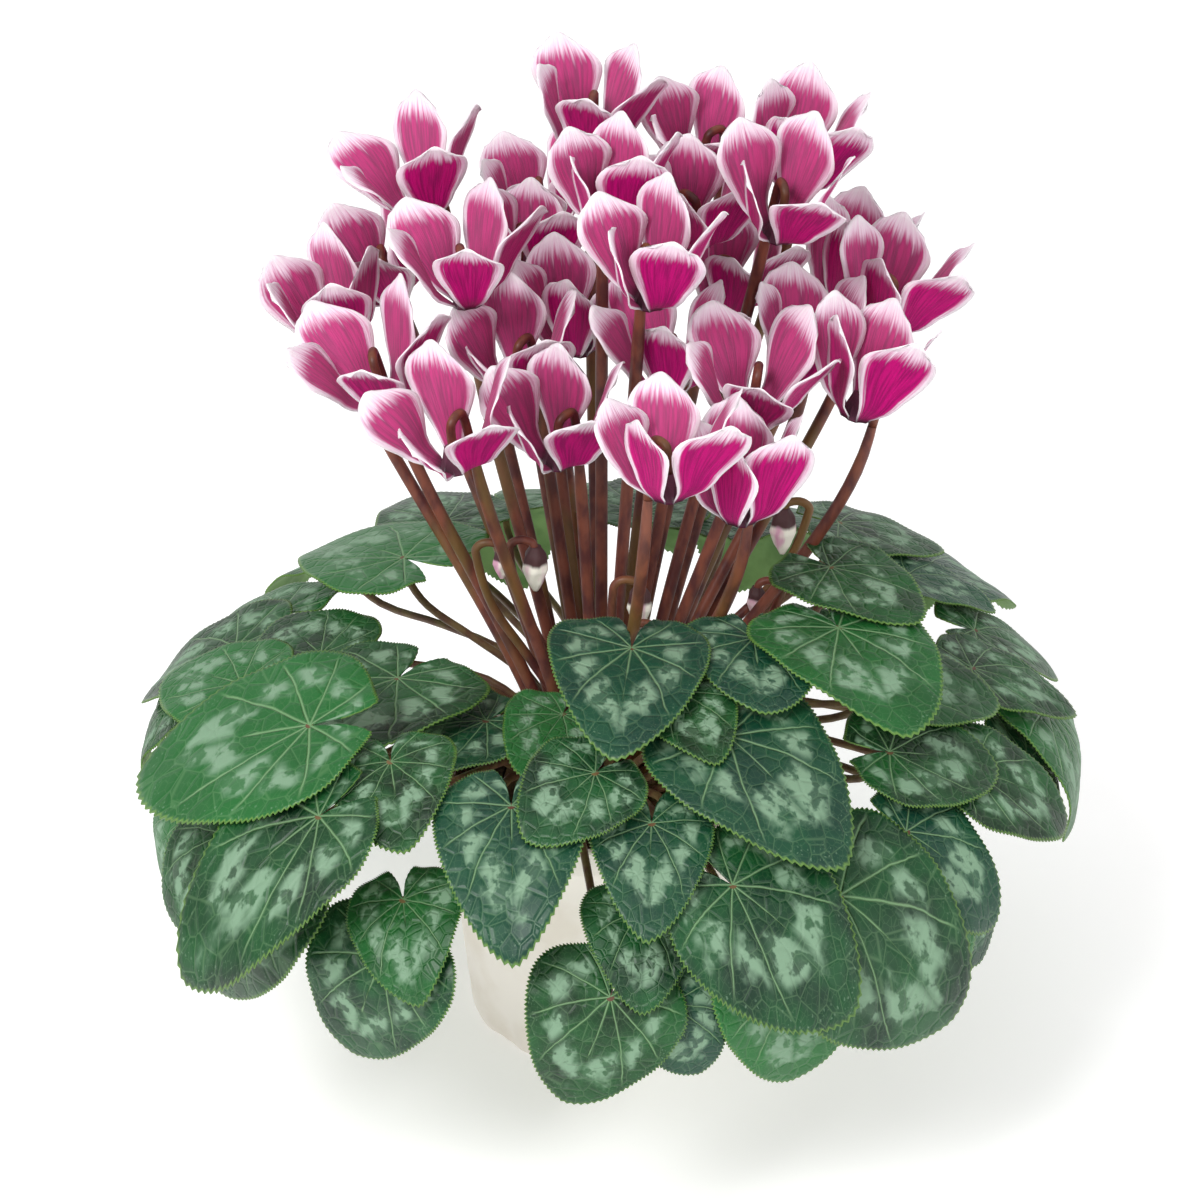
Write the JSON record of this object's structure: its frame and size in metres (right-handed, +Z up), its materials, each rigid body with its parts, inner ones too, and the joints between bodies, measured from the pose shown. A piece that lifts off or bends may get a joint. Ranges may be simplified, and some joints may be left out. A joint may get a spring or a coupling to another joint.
{
  "type": "potted florist's cyclamen",
  "caption": "Florist's cyclamen in a pale clay pot: marbled heart-shaped leaves under a head of magenta blooms with white-edged, swept-back petals.",
  "frame": {"origin": "middle of the pot's foot, on the surface it stands on", "axes": "+Z up along the pot's axis, the plant's best side faces -Y"},
  "size_m": [0.4038, 0.4135, 0.4126],
  "materials": {
    "clay": "matt",
    "soil": "matt",
    "stalk": "satin",
    "petal": "satin",
    "leaf": "satin"
  },
  "bodies": {
    "root": {"bloom_01": "petal", "bloom_02": "petal", "bloom_03": "petal", "bloom_04": "petal", "bloom_05": "petal", "bloom_06": "petal", "bloom_07": "petal", "bloom_08": "petal", "bloom_09": "petal", "bloom_10": "petal", "bloom_11": "petal", "bloom_12": "petal", "bloom_13": "petal", "bloom_14": "petal", "bloom_15": "petal", "bloom_16": "petal", "bloom_17": "petal", "bloom_18": "petal", "bloom_19": "petal", "bloom_20": "petal", "bloom_21": "petal", "bloom_22": "petal", "bloom_23": "petal", "bloom_24": "petal", "bloom_25": "petal", "bloom_26": "petal", "bloom_27": "petal", "leaves_01": "leaf", "leaves_02": "leaf", "leaves_03": "leaf", "leaves_04": "leaf", "leaves_05": "leaf", "leaves_06": "leaf", "leaves_07": "leaf", "leaves_08": "leaf", "leaves_09": "leaf", "leaves_10": "leaf", "leaves_11": "leaf", "leaves_12": "leaf", "leaves_13": "leaf", "leaves_14": "leaf", "leaves_15": "leaf", "leaves_16": "leaf", "leaves_17": "leaf", "leaves_18": "leaf", "leaves_19": "leaf", "leaves_20": "leaf", "leaves_21": "leaf", "leaves_22": "leaf", "leaves_23": "leaf", "leaves_24": "leaf", "leaves_25": "leaf", "leaves_26": "leaf", "leaves_27": "leaf", "leaves_28": "leaf", "leaves_29": "leaf", "leaves_30": "leaf", "pot": "clay", "soil": "soil", "tuber_and_stalks": "stalk"}
  },
  "joints": []
}
